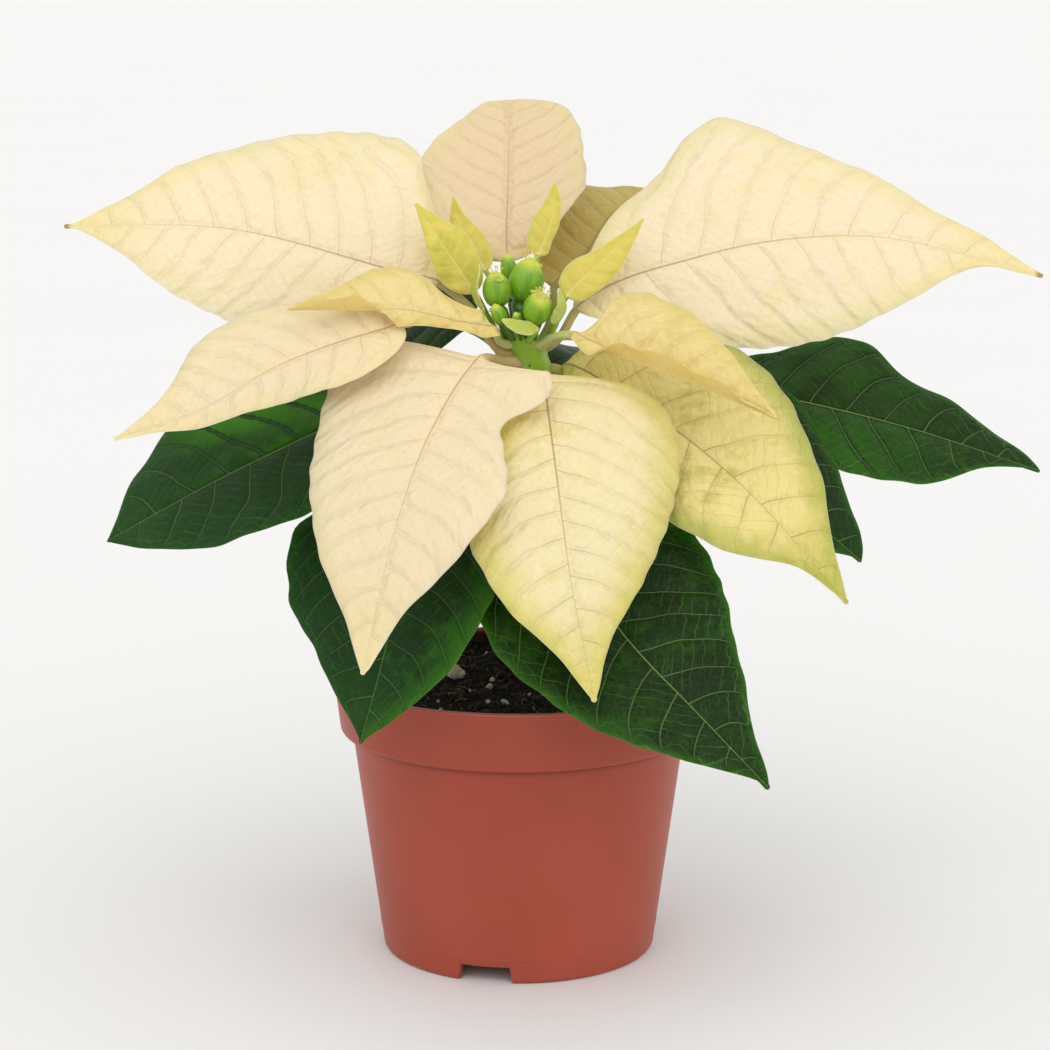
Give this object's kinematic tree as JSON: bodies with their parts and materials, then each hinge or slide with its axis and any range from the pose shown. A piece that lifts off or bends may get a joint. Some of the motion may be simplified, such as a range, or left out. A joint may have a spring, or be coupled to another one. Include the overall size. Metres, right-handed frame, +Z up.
{
  "type": "potted poinsettia",
  "caption": "Cream-bracted poinsettia growing in a terracotta-coloured plastic nursery pot, with green leaves and budded flower head.",
  "frame": {"origin": "middle of the whole plant's bounding box, on the surface the pot stands on; the pot's axis is 10 mm to -X of it", "axes": "+Z up; -Y towards the side the flower head leans to; +X to the right seen from that side"},
  "size_m": [0.2739, 0.1735, 0.2356],
  "materials": {
    "terracotta_plastic": "satin",
    "potting_soil": "matte",
    "green_stem": "satin",
    "cream_bract": "satin",
    "yellow_green_bract": "satin",
    "green_leaf": "satin",
    "cyathium_green": "satin"
  },
  "bodies": {
    "root": {"pot": "terracotta_plastic", "soil": "potting_soil", "stem": "green_stem", "bract_upper_left": "cream_bract", "bract_back": "cream_bract", "bract_back_right": "cream_bract", "bract_upper_right": "cream_bract", "bract_left": "cream_bract", "bract_front_left": "cream_bract", "bract_front": "cream_bract", "bract_front_right": "cream_bract", "small_bract_right": "cream_bract", "small_bract_left": "cream_bract", "bractlet_left_front": "yellow_green_bract", "bractlet_left_back": "yellow_green_bract", "bractlet_back": "yellow_green_bract", "bractlet_right": "yellow_green_bract", "cup_bract_left": "yellow_green_bract", "cup_bract_right": "yellow_green_bract", "cup_bract_front": "yellow_green_bract", "leaf_left": "green_leaf", "leaf_front_left": "green_leaf", "leaf_front_right": "green_leaf", "leaf_right": "green_leaf", "leaf_low_right": "green_leaf", "leaf_back_left": "green_leaf", "leaf_back": "green_leaf", "leaf_back_right": "green_leaf", "leaf_low_back_left": "green_leaf", "leaf_low_back_right": "green_leaf", "cyathium_top": "cyathium_green", "cyathium_left": "cyathium_green", "cyathium_right": "cyathium_green", "cyathium_back": "cyathium_green", "cyathium_low": "cyathium_green", "cyathium_front": "cyathium_green"}
  },
  "joints": []
}
